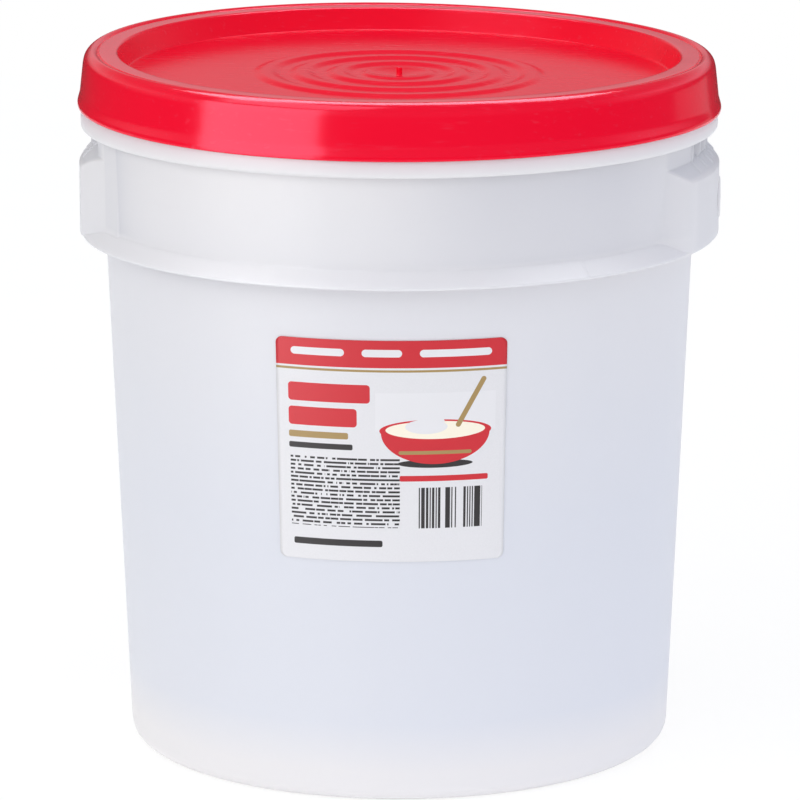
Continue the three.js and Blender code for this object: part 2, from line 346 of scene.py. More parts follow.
@dataclass(frozen=True)
class CoatedPaper:
    """Machine-coated label paper, offset printed.

    It is a clean white with a low sheen, faintly fibrous, and its inks have sharp edges.
    """

    patches: tuple[PrintPatch, ...]
    roughness: float = 0.42
    gloss_swing: float = 0.06
    fibre: str = "DFDEE0"
    # The fibres are finer, and are drawn coarse enough to show
    fibre_mm: float = 0.7
    fibre_depth_mm: float = 0.05
    fibre_strength: float = 0.05
    ior: float = 1.5
    edge_mm: float = 0.08
    line_pitch: float = 1.9
    line_share: float = 0.5
    word_scale: tuple[float, float, float] = (0.55, 7.3, 1.0)
    word_gap: float = 0.42
    stripe_pitch: float = 0.55
    stripe_share: float = 0.5

    def mask(
        self, tree: bpy.types.NodeTree, spot: bpy.types.NodeSocket, patch: PrintPatch
    ) -> bpy.types.NodeSocket:
        """Give a value that is one inside a patch and zero outside it.

        A bar is every point whose distance from a smaller rectangle is under its corner radius. A disc is
        every point nearer than one after its half sizes divide the place. Lines and stripes are a bar times
        a wave.

        Args:
            tree: the material's node tree.
            spot: places on the label in millimetres.
            patch: the form.

        Returns:
            The socket that holds the mask.
        """
        turn = (0.0, 0.0, math.radians(patch.turn))
        middle = (*patch.centre, 0.0)
        if patch.shape is Shape.DISC:
            scale = (*patch.half, 1.0)
            near = put(
                tree,
                "Mapping",
                {"Vector": spot, "Location": middle, "Rotation": turn, "Scale": scale},
                vector_type="TEXTURE",
            )
            far = put(tree, "VectorMath", {0: near}, operation="LENGTH").outputs["Value"]
            limit, soft = 1.0, self.edge_mm / max(patch.half)
        else:
            near = put(
                tree,
                "Mapping",
                {"Vector": spot, "Location": middle, "Rotation": turn},
                vector_type="TEXTURE",
            )
            core = tuple(size - patch.corner for size in patch.half)
            fold = put(tree, "VectorMath", {0: near}, operation="ABSOLUTE")
            past = put(tree, "VectorMath", {0: fold, 1: (*core, 0.0)}, operation="SUBTRACT")
            over = put(tree, "VectorMath", {0: past, 1: (0.0, 0.0, 0.0)}, operation="MAXIMUM")
            far = put(tree, "VectorMath", {0: over}, operation="LENGTH").outputs["Value"]
            limit, soft = patch.corner, self.edge_mm
        inside = put(
            tree,
            "MapRange",
            {"Value": far, "From Min": limit, "From Max": limit + soft, "To Min": 1.0, "To Max": 0.0},
        ).outputs[0]
        if patch.shape is Shape.LINES:
            wave = self.dashes(tree, near.outputs[0])
        elif patch.shape is Shape.STRIPES:
            wave = self.stripes(tree, near.outputs[0])
        else:
            return inside
        return put(tree, "Math", {0: inside, 1: wave}, operation="MULTIPLY").outputs[0]

    def dashes(self, tree: bpy.types.NodeTree, near: bpy.types.NodeSocket) -> bpy.types.NodeSocket:
        """Give rows of dashes: a row where the height's sawtooth is low, broken where noise is low.

        Args:
            tree: the material's node tree.
            near: places from the patch's middle in millimetres.

        Returns:
            The socket that is one on a dash.
        """
        parts = put(tree, "SeparateXYZ", {0: near})
        rows = put(tree, "Math", {0: parts.outputs["Y"], 1: 1 / self.line_pitch}, operation="MULTIPLY")
        saw = put(tree, "Math", {0: rows}, operation="FRACT")
        row = put(tree, "Math", {0: saw, 1: self.line_share}, operation="LESS_THAN")
        line = put(tree, "Math", {0: rows}, operation="FLOOR")
        seat = put(tree, "CombineXYZ", {"X": parts.outputs["X"], "Y": line})
        word = put(tree, "Mapping", {"Vector": seat, "Scale": self.word_scale})
        noise = put(tree, "TexNoise", {"Vector": word, "Scale": 1.0, "Detail": 1.0})
        filled = put(tree, "Math", {0: noise, 1: self.word_gap}, operation="GREATER_THAN")
        return put(tree, "Math", {0: row, 1: filled}, operation="MULTIPLY").outputs[0]

    def stripes(self, tree: bpy.types.NodeTree, near: bpy.types.NodeSocket) -> bpy.types.NodeSocket:
        """Give upright stripes: noise that is constant over each step across, cut at its middle.

        Args:
            tree: the material's node tree.
            near: places from the patch's middle in millimetres.

        Returns:
            The socket that is one on a stripe.
        """
        parts = put(tree, "SeparateXYZ", {0: near})
        step = put(tree, "Math", {0: parts.outputs["X"], 1: 1 / self.stripe_pitch}, operation="MULTIPLY")
        whole = put(tree, "Math", {0: step}, operation="FLOOR")
        noise = put(tree, "TexWhiteNoise", {"W": whole}, noise_dimensions="1D")
        return put(tree, "Math", {0: noise, 1: self.stripe_share}, operation="LESS_THAN").outputs[0]

    def material(self) -> bpy.types.Material:
        """Build the material: paper with fibres, each patch of ink laid over the last, and a low sheen."""
        material, tree = new_material("coated_paper_printed")
        spot = put(tree, "UVMap", uv_map=Label.uv_name).outputs[0]
        place = put(tree, "TexCoord").outputs["Object"]
        fibre = put(tree, "TexNoise", {"Vector": place, "Scale": 1 / (self.fibre_mm * MM), "Detail": 3.0})
        pale = put(
            tree,
            "Mix",
            {0: fibre, 6: linear(Ink.PAPER.value), 7: linear(self.fibre)},
            data_type="RGBA",
        )
        colour = pale.outputs[2]
        for patch in self.patches:
            ink = put(
                tree,
                "Mix",
                {0: self.mask(tree, spot, patch), 6: colour, 7: linear(patch.ink.value)},
                data_type="RGBA",
            )
            colour = ink.outputs[2]
        gloss = put(
            tree,
            "MapRange",
            {
                "Value": fibre,
                "To Min": self.roughness - self.gloss_swing,
                "To Max": self.roughness + self.gloss_swing,
            },
        )
        bump = put(
            tree,
            "Bump",
            {"Height": fibre, "Strength": self.fibre_strength, "Distance": self.fibre_depth_mm * MM},
        )
        shader = put(
            tree,
            "BsdfPrincipled",
            {"Base Color": colour, "Roughness": gloss, "IOR": self.ior, "Normal": bump},
        )
        surface_of(tree, shader)
        return material


@dataclass(frozen=True)
class StudioSweep:
    """Matt white paint on a studio floor: even and pale, with the faint mottle of a roller."""

    pale: str = "F4F4F4"
    worn: str = "EFEFEF"
    mottle_mm: float = 60.0
    roughness: float = 0.9
    shine: float = 0.1
    glow: float = 0.24
    washed_out: float = 0.75

    def material(self) -> bpy.types.Material:
        """Build the material: two whites in a soft mottle, with no gloss, washed out for the camera."""
        material, tree = new_material("matt_white_paint")
        place = put(tree, "TexCoord").outputs["Object"]
        mottle = put(tree, "TexNoise", {"Vector": place, "Scale": 1 / (self.mottle_mm * MM), "Detail": 2.0})
        tint = put(tree, "Mix", {0: mottle, 6: linear(self.pale), 7: linear(self.worn)}, data_type="RGBA")
        paint = put(
            tree,
            "BsdfPrincipled",
            {
                "Base Color": tint.outputs[2],
                "Roughness": self.roughness,
                "Specular IOR Level": self.shine,
                "Emission Color": (1.0, 1.0, 1.0, 1.0),
                "Emission Strength": self.glow,
            },
        )
        seen = put(tree, "LightPath").outputs["Is Camera Ray"]
        share = put(tree, "Math", {0: seen, 1: self.washed_out}, operation="MULTIPLY")
        white = put(tree, "Emission", {"Color": (1.0, 1.0, 1.0, 1.0)})
        surface_of(tree, put(tree, "MixShader", {0: share, 1: paint, 2: white}))
        return material


def eased(points: np.ndarray, cuts: np.ndarray, steps: int = 6, most: float = 0.45) -> np.ndarray:
    """Round the corners of a section line.

    Each inner corner gives way to a parabola that starts and ends a cut's length back along the two sides
    it joins, and has the corner as its control point.

    Args:
        points: the line's corners, one [radius, height] a row.
        cuts: how far each inner corner is cut back.
        steps: pieces of each parabola.
        most: the largest share of a side that a cut takes.

    Returns:
        The rounded line.
    """
    corner = points[1:-1]
    back = points[:-2] - corner
    ahead = points[2:] - corner
    back_length = np.linalg.norm(back, axis=1, keepdims=True)
    ahead_length = np.linalg.norm(ahead, axis=1, keepdims=True)
    reach = np.minimum(cuts[:, None], most * np.minimum(back_length, ahead_length))
    start = corner + back / back_length * reach
    end = corner + ahead / ahead_length * reach
    t = np.linspace(0, 1, steps + 1)[None, :, None]
    curve = (1 - t) ** 2 * start[:, None] + 2 * t * (1 - t) * corner[:, None] + t**2 * end[:, None]
    return np.vstack([points[:1], curve.reshape(-1, 2), points[-1:]])


def divided(line: np.ndarray, step: float) -> np.ndarray:
    """Add points to a line so that none lies further than a step from the next.

    Each side is cut into the fewest equal parts that are short enough.

    Args:
        line: the line's points, one a row.
        step: the longest distance left between two points.

    Returns:
        The finer line.
    """
    side = np.diff(line, axis=0)
    parts = np.maximum(np.ceil(np.linalg.norm(side, axis=1) / step).astype(int), 1)
    which = np.repeat(np.arange(len(parts)), parts)
    count = np.arange(parts.sum()) - np.repeat(np.cumsum(parts) - parts, parts)
    share = (count / parts[which])[:, None]
    return np.vstack([line[which] + side[which] * share, line[-1:]])


def smooth(share: np.ndarray) -> np.ndarray:
    """Give the smooth step of shares from zero to one: three of the square less two of the cube."""
    return share * share * (3 - 2 * share)


def turned_from(angles: np.ndarray, centres: np.ndarray) -> np.ndarray:
    """Give how far each angle is turned from each centre: degrees from -180 to 180, one angle a row."""
    return (angles[:, None] - centres + 180) % 360 - 180


def lower_of(a: np.ndarray, b: np.ndarray, soft: float) -> np.ndarray:
    """Give the lesser of two values, eased by a cubic where they come within a soft width of each other."""
    near = np.maximum(soft - np.abs(a - b), 0) / soft
    return np.minimum(a, b) - near**3 * soft / 6


def upper_of(a: np.ndarray, b: np.ndarray, soft: float) -> np.ndarray:
    """Give the greater of two values, eased in the same way."""
    return -lower_of(-a, -b, soft)


def around(radius: np.ndarray, height: np.ndarray, angles: np.ndarray) -> np.ndarray:
    """Place a grid of radii and heights about +Z: (radius cos angle, radius sin angle, height).

    Args:
        radius: one value a row, or a row and column.
        height: one value a row, or a row and column.
        angles: the columns' angles in degrees.

    Returns:
        Points as rows by columns by three.
    """
    turn = np.radians(angles)[None, :]
    radius, height = np.broadcast_arrays(radius, height, np.zeros((1, len(angles))))[:2]
    return np.stack([radius * np.cos(turn), radius * np.sin(turn), height], axis=-1)


def round_faces(rows: int, columns: int) -> list[list[int]]:
    """Join a grid that runs round an axis, with a pole at each end.

    Quads join each point to its neighbours, the last column meets the first, and fans of triangles close
    the first and the last row on the two poles, which follow the grid's points.

    Args:
        rows: points from the first pole to the last.
        columns: points round the axis.

    Returns:
        The faces as lists of point numbers.
    """
    here = np.arange(rows * columns).reshape(rows, columns)
    beside = np.roll(here, -1, axis=1)
    quads = np.stack([here[:-1], beside[:-1], beside[1:], here[1:]], axis=-1).reshape(-1, 4)
    first = np.full(columns, rows * columns)
    start = np.stack([first, beside[0], here[0]], axis=-1)
    end = np.stack([first + 1, here[-1], beside[-1]], axis=-1)
    return quads.tolist() + start.tolist() + end.tolist()


def piece(
    name: str, points: np.ndarray, faces: list[list[int]], material: bpy.types.Material
) -> bpy.types.Object:
    """Make a smooth-shaded object from points in millimetres.

    Args:
        name: the object's name.
        points: one point a row.
        faces: lists of point numbers.
        material: its finish.

    Returns:
        The object, linked to the scene, at the origin.
    """
    mesh = bpy.data.meshes.new(name)
    mesh.from_pydata((points * MM).tolist(), [], faces)
    mesh.polygons.foreach_set("use_smooth", np.ones(len(mesh.polygons), dtype=bool))
    mesh.materials.append(material)
    mesh.update()
    made = bpy.data.objects.new(name, mesh)
    bpy.context.scene.collection.objects.link(made)
    return made


def turned_piece(
    name: str, grid: np.ndarray, poles: np.ndarray, material: bpy.types.Material
) -> bpy.types.Object:
    """Make a closed object from a grid round an axis and its two poles.

    Args:
        name: the object's name.
        grid: points as rows by columns by three, rows rising on the outer side.
        poles: the point that closes the first row, then the one that closes the last.
        material: its finish.

    Returns:
        The object.
    """
    points = np.vstack([grid.reshape(-1, 3), poles])
    return piece(name, points, round_faces(*grid.shape[:2]), material)


@dataclass
class Pail:
    """The tapered pail: base, wall, ledge ring, collar with two carrying ears, flange and rim."""

    # Name of the point attribute that holds the painted shade
    shade_name: ClassVar[str] = "painted_shade"
    # Base and wall
    wall_foot: float = 129.65
    taper: float = 0.041
    base_fillet: float = 8.7
    panel_radius: float = 109.0
    panel_lift: float = 2.5
    panel_slope: float = 3.0
    panel_cuts: tuple[float, float] = (2.0, 1.5)
    # Ledge ring and collar
    ledge_radius: float = 151.2
    ledge_underside: float = 246.4
    ledge_edge: float = 1.2
    ledge_cuts: tuple[float, float] = (1.4, 0.6)
    collar_foot: float = 144.2
    collar_height: float = 254.2
    # Flange, and the rim under the lid
    flange_radius: float = 151.1
    flange_underside: float = 297.4
    flange_top: float = 307.4
    flange_root: float = 1.4
    flange_slope: float = 1.5
    rim_outer: float = 148.3
    rim_inner: float = 141.0
    rim_top: float = 325.0
    contents_top: float = 315.0
    upper_cuts: tuple[float, ...] = (1.9, 0.5, 0.5, 1.5, 1.5, 2.0)
    # Ears, in degrees from each ear's middle
    ear_turns: tuple[float, float] = (-5.5, 174.5)
    ear_radius: float = 152.1
    ear_ramp: tuple[float, float] = (-28.8, -20.5)
    ear_facets: tuple[tuple[float, float], ...] = (
        (14.6, 152.1), (24.2, 145.4), (30.6, 145.2), (32.0, 144.0)
    )
    ear_edge_soften: float = 0.2
    ear_sunk: float = 0.2
    shoulder_height: float = 280.6
    shoulder_slope: float = 0.74
    shoulder_curve: float = 0.0325
    shoulder_meets_collar: float = 289.8
    shoulder_most: float = 8.0
    shoulder_below: float = -4.0
    ear_foot_limits: tuple[float, float] = (1.2, 0.6)
    ear_pocket: tuple[float, float] = (-14.0, 19.0)
    pocket_radius: float = 142.6
    pocket_soft: float = 0.5
    # Painted shade over the band with the ears: how dark each place is painted, and how far each place
    # fades
    shade_beside: float = 0.6
    shade_top: float = 0.42
    shade_strip: float = 0.2
    shade_face: float = 0.18
    shade_fade: float = 5.0
    beside_soft: float = 0.8
    strip_soft: float = 0.5
    foot_soft: float = 2.5
    ear_soft: float = 3.0
    top_soft: float = 2.0
    face_soft: float = 2.5
    shade_ahead: float = 0.42
    ahead_grows: tuple[float, float] = (-15.0, 12.0)
    ahead_fades: tuple[float, float] = (36.0, 64.0)
    ahead_foot: float = 0.6
    ahead_climb: float = 35.0
    # Ribs and strips over the ears, and mould seams on the ledge
    rib_angles: tuple[float, ...] = (-15.3, -10.3, -5.3, -0.3, 4.7, 9.7)
    rib_half: float = 0.3
    rib_proud: float = 0.8
    rib_edge: float = 0.2
    rib_reach: float = 150.5
    strip_radius: float = 146.4
    strip_rise: float = 3.0
    seam_turns: tuple[float, float] = (-55.2, 124.8)
    seam_half: float = 0.14
    seam_proud: float = 0.22
    # Hubs
    hub_radius: float = 9.7
    hub_reach: float = 152.6
    hub_depth: float = 4.0
    hub_height: float = 264.4
    hub_hole: tuple[float, float] = (3.2, 2.2)
    hub_cuts: tuple[float, ...] = (0.3, 0.6, 0.5, 0.5)
    hub_step: float = 7.5
    hub_start: float = 1 / 4
    hub_end: float = 1 / 3
    # Columns and rows, and how soft the creases are
    column_step: float = 1.5
    ear_step: float = 0.6
    ear_span: tuple[float, float] = (-31.0, 33.0)
    flank: tuple[float, ...] = (-0.46, -0.36, -0.24, -0.12, 0.0, 0.12, 0.24, 0.36, 0.46)
    flank_clear: float = 0.55
    plan_step: float = 0.05
    plan_span: float = 40.0
    bell_steps: int = 30
    band_rows: tuple[int, ...] = (9, 30, 16, 12)
    lower_steps: tuple[int, float] = (6, 16.0)
    upper_steps: tuple[int, float] = (4, 20.0)
    base_start: float = 0.2
    contents_end: float = 0.25
    ledge_crease: float = 1.0
    ear_crease: float = 0.5
    shoulder_crease: float = 0.8

    def columns(self) -> np.ndarray:
        """Give the columns' angles: even steps, finer over the ears, close at ribs, seams and facets."""
        turns = np.array(self.ear_turns)
        start, stop = self.ear_span
        even = np.arange(0, 360, self.column_step)
        even = even[np.abs(self.from_ear(even)) > stop]
        fine = (turns[:, None] + np.arange(start, stop, self.ear_step)).ravel()
        local = np.concatenate([self.rib_angles, np.array(self.ear_facets)[:, 0]])
        centres = np.concatenate([(turns[:, None] + local).ravel(), self.seam_turns])
        plain = np.concatenate([even, fine])
        free = np.abs(turned_from(plain, centres)).min(axis=1) > self.flank_clear
        close = (centres[:, None] + np.array(self.flank)).ravel()
        return np.unique(np.round(np.concatenate([plain[free], close]) % 360, 4))

    def reach(self, angles: np.ndarray) -> np.ndarray:
        """Give how far out the ears stand at each angle.

        From an ear's middle the radius follows a smooth ramp up from the collar, a round face, then
        straight facets back, where one over the radius is a blend of sines of the angles to the facet's two
        ends. The edges are softened by averaging over a bell of angles.

        Args:
            angles: degrees about +Z.

        Returns:
            The ears' radius, below the collar's where there is no ear.
        """
        fine = np.arange(-self.plan_span, self.plan_span, self.plan_step)
        start, end = self.ear_ramp
        t = np.clip((fine - start) / (end - start), 0, 1)
        radius = self.collar_foot + (self.ear_radius - self.collar_foot) * smooth(t)
        for (a, ra), (b, rb) in zip(self.ear_facets[:-1], self.ear_facets[1:]):
            span = np.sin(np.radians(b - a))
            line = (np.sin(np.radians(b - fine)) / ra + np.sin(np.radians(fine - a)) / rb) / span
            radius = np.where((fine > a) & (fine <= b), 1 / line, radius)
        radius = np.where(fine > self.ear_facets[-1][0], self.collar_foot - self.ear_sunk, radius)
        steps = np.arange(-self.bell_steps, self.bell_steps + 1)
        bell = np.exp(-0.5 * (steps * self.plan_step / self.ear_edge_soften) ** 2)
        padded = np.pad(radius, len(bell) // 2, mode="edge")
        soft = np.convolve(padded, bell / bell.sum(), mode="valid")
        return np.interp(self.from_ear(angles), fine, soft)

    def from_ear(self, angles: np.ndarray) -> np.ndarray:
        """Give each angle as degrees from the middle of the nearest ear."""
        off = turned_from(angles, np.array(self.ear_turns))
        return np.take_along_axis(off, np.abs(off).argmin(axis=1)[:, None], axis=1)[:, 0]

    def ear_top(self, reach: np.ndarray) -> np.ndarray:
        """Give the height at which an ear's plan meets its shoulder, from the parabola's root."""
        drop = np.maximum(self.ear_radius - reach, 0)
        root = np.sqrt(self.shoulder_slope**2 + 4 * self.shoulder_curve * drop)
        rise = (root - self.shoulder_slope) / (2 * self.shoulder_curve)
        return self.shoulder_height + np.minimum(rise, self.shoulder_most)

    def painted_shade(self, angles: np.ndarray, height: np.ndarray) -> np.ndarray:
        """Give the painted shade over the band with the ears, which darkens the plastic where shade falls.

        It is greatest on the collar beside the facets and fades there as an exponential of the angle, is
        high on the ear's shoulder and in the pocket above it, and slight on the ear's round face and its
        last facet. On the collar ahead of the ear's ramp it swells and fades again with the angle, and
        grows with the height.

        Args:
            angles: the columns.
            height: heights, rows by columns.

        Returns:
            Zero for no painted shade and one for the most, rows by columns.
        """
        off = self.from_ear(angles)[None, :]
        (face, _), (strip, _), (edge, _), (end, _) = self.ear_facets
        past = off - edge
        on_side = np.clip(past / self.beside_soft, 0, 1)
        beside = self.shade_beside * np.exp(-np.maximum(past, 0) / self.shade_fade) * on_side
        on_strip = np.clip(np.minimum(off - strip, end - off) / self.strip_soft, 0, 1)
        on_collar = np.clip((height - self.collar_height) / self.foot_soft, 0, 1)
        on_ear = np.clip(np.minimum(off - self.ear_ramp[0], strip - off) / self.ear_soft, 0, 1)
        on_top = np.clip((height - self.ear_top(self.reach(angles))[None, :]) / self.top_soft, 0, 1)
        on_face = np.clip(np.minimum(off - self.ear_ramp[1], face - off) / self.face_soft, 0, 1)
        ahead = self.ear_ramp[0] - off
        (near, full), (fade, gone) = self.ahead_grows, self.ahead_fades
        left = np.clip((gone - ahead) / (gone - fade), 0, 1)
        swell = np.clip((ahead - near) / (full - near), 0, 1) * smooth(left)
        climb = np.clip((height - self.collar_height) / self.ahead_climb, 0, 1)
        before = self.shade_ahead * swell * (self.ahead_foot + (1 - self.ahead_foot) * climb)
        side = np.maximum(np.maximum(beside, self.shade_strip * on_strip), before) * on_collar
        return np.maximum(side, np.maximum(self.shade_top * on_ear * on_top, self.shade_face * on_face))

    def near(self, angles: np.ndarray, centres: np.ndarray, half: float) -> np.ndarray:
        """Give one within a half width of a centre, with a slope to zero astride its edge.

        Args:
            angles: degrees about +Z.
            centres: the middles in degrees.
            half: half the width in degrees.

        Returns:
            The mask at each angle.
        """
        off = np.abs(turned_from(angles, centres)).min(axis=1)
        fade = self.rib_edge * half
        return np.clip((half + fade - off) / (2 * fade), 0, 1)

    def collar(self, height: np.ndarray) -> np.ndarray:
        """Give the collar's radius at a height."""
        return self.collar_foot + self.taper * (height - self.collar_height)

    def shoulder(self, height: np.ndarray) -> np.ndarray:
        """Give the radius of an ear's rounded top: it falls as a parabola of the height above its edge."""
        s = np.maximum(height - self.shoulder_height, self.shoulder_below)
        return self.ear_radius - self.shoulder_slope * s - self.shoulder_curve * s * np.abs(s)

    def ear_band(self, angles: np.ndarray) -> tuple[np.ndarray, np.ndarray]:
        """Work out the band from the ledge's edge to the flange, with its ears.

        At each height and angle the radius is the greatest of the collar, the sloping ledge and the ear,
        and the ear is the lesser of its plan and its shoulder. Rows follow the ear's foot and top, so its
        edges stay crisp. The collar is set back in a pocket over the ear. Ribs stand proud of the shoulder
        and cross it as narrow strips.

        Args:
            angles: the columns.

        Returns:
            Radii and heights, each rows by columns.
        """
        reach = self.reach(angles)[None, :]
        low = self.ledge_underside + self.ledge_edge
        fall = (self.collar_height - low) / (self.ledge_radius - self.collar_foot)
        least, most = self.ear_foot_limits
        foot = np.clip(low + (self.ledge_radius - reach) * fall, low + least, self.collar_height + most)
        top = self.ear_top(reach)
        meet = np.full_like(top, self.shoulder_meets_collar)
        end = np.full_like(top, self.flange_underside)
        begin = np.full_like(top, low)
        stops = tuple(zip((begin, foot, top, meet), (foot, top, meet, end), self.band_rows))
        spread = [(1 - np.cos(np.pi * np.arange(n) / n))[:, None] / 2 for _, _, n in stops]
        height = np.vstack([a + (b - a) * share for (a, b, _), share in zip(stops, spread)] + [end])
        ribs = (np.array(self.ear_turns)[:, None] + np.array(self.rib_angles)).ravel()
        rib = self.near(angles, ribs, self.rib_half)[None, :]
        seam = self.near(angles, np.array(self.seam_turns), self.seam_half)[None, :]
        crest = np.minimum(self.shoulder(height - self.rib_proud), self.rib_reach)
        shoulder = self.shoulder(height)
        shoulder = shoulder + np.maximum(crest - shoulder, 0) * rib
        start, stop = self.ear_pocket
        off = self.from_ear(angles)[None, :]
        pocket = np.clip(np.minimum(off - start, stop - off) / self.pocket_soft + 0.5, 0, 1)
        collar = self.collar(height) * (1 - pocket) + self.pocket_radius * pocket
        strip = np.clip((height - self.shoulder_meets_collar) / self.strip_rise + 1, 0, 1)
        collar = collar + np.maximum(self.strip_radius - collar, 0) * rib * strip
        ledge = self.ledge_radius - (height - low) / fall + self.seam_proud * seam
        ear = lower_of(reach, shoulder, self.shoulder_crease)
        radius = upper_of(upper_of(collar, ledge, self.ledge_crease), ear, self.ear_crease)
        radius[0] = self.ledge_radius
        return radius, height

    def lower_section(self) -> np.ndarray:
        """Give the section from the base's middle to the ledge's edge."""
        top = self.wall_foot + self.taper * self.ledge_underside
        corners = np.array(
            [
                [self.panel_radius * self.base_start, self.panel_lift],
                [self.panel_radius, self.panel_lift],
                [self.panel_radius + self.panel_slope, 0],
                [self.wall_foot, 0],
                [top, self.ledge_underside],
                [self.ledge_radius, self.ledge_underside],
                [self.ledge_radius, self.ledge_underside + self.ledge_edge],
            ]
        )
        cuts = np.array([*self.panel_cuts, self.base_fillet, *self.ledge_cuts])
        steps, longest = self.lower_steps
        return divided(eased(corners, cuts, steps), longest)[:-1]

    def upper_section(self) -> np.ndarray:
        """Give the section from under the flange, over the rim, to the top of the contents."""
        corners = np.array(
            [
                [self.collar(np.array(self.flange_underside)) + self.flange_root, self.flange_underside],
                [self.flange_radius, self.flange_underside],
                [self.flange_radius, self.flange_top],
                [self.rim_outer, self.flange_top + self.flange_slope],
                [self.rim_outer, self.rim_top],
                [self.rim_inner, self.rim_top],
                [self.rim_inner, self.contents_top],
                [self.rim_inner * self.contents_end, self.contents_top],
            ]
        )
        steps, longest = self.upper_steps
        return divided(eased(corners, np.array(self.upper_cuts), steps), longest)

    def build(self, finish: NaturalPolyethylene) -> list[bpy.types.Object]:
        """Make the pail and the hubs of its ears.

        Args:
            finish: the plastic.

        Returns:
            The pieces.
        """
        material = finish.material()
        angles = self.columns()
        lower, upper = self.lower_section(), self.upper_section()
        radius, height = self.ear_band(angles)
        parts = [around(line[:, :1], line[:, 1:], angles) for line in (lower, upper)]
        grid = np.concatenate([parts[0], around(radius, height, angles), parts[1]])
        poles = np.array([[0, 0, self.panel_lift], [0, 0, self.contents_top]])
        shell = turned_piece("pail_shell", grid, poles, material)
        # Painted shade over the band with the ears, as a point attribute that the material reads
        shade_paint = np.zeros(len(shell.data.vertices), dtype=np.float32)
        shade_paint[parts[0][..., 0].size :][: height.size] = self.painted_shade(angles, height).ravel()
        shell.data.attributes.new(self.shade_name, "FLOAT", "POINT").data.foreach_set("value", shade_paint)
        hubs = [
            self.hub(f"ear_hub_{side}", turn, material)
            for side, turn in zip(("right", "left"), self.ear_turns)
        ]
        return [shell, *hubs]

    def hub(self, name: str, turn: float, material: bpy.types.Material) -> bpy.types.Object:
        """Make the round hub on an ear: a section turned about the ear's own axis, which points outwards.

        Args:
            name: the piece's name.
            turn: the ear's angle in degrees.
            material: the plastic.

        Returns:
            The hub.
        """
        hole, depth = self.hub_hole
        back = self.hub_reach - self.hub_depth
        corners = np.array(
            [
                [self.hub_radius * self.hub_start, back],
                [self.hub_radius, back],
                [self.hub_radius, self.hub_reach],
                [hole, self.hub_reach],
                [hole, self.hub_reach - depth],
                [hole * self.hub_end, self.hub_reach - depth],
            ]
        )
        line = eased(corners, np.array(self.hub_cuts))
        grid = around(line[:, :1], line[:, 1:], np.arange(0, 360, self.hub_step))
        poles = np.array([[0, 0, back], [0, 0, self.hub_reach - depth]])
        out = np.array([math.cos(math.radians(turn)), math.sin(math.radians(turn)), 0])
        side = np.array([-out[1], out[0], 0])
        frame = np.stack([side, np.array([0, 0, 1.0]), out])
        lift = np.array([0, 0, self.hub_height])
        return turned_piece(name, grid @ frame + lift, poles @ frame + lift, material)

    def dress(self, pieces: list[bpy.types.Object]) -> None:
        """Fix the pieces to the frame: the shell stands for the CAD pail, and all take its plastic."""
        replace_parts(pieces[0], "pail")
        for made in pieces:
            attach(made, BODY)


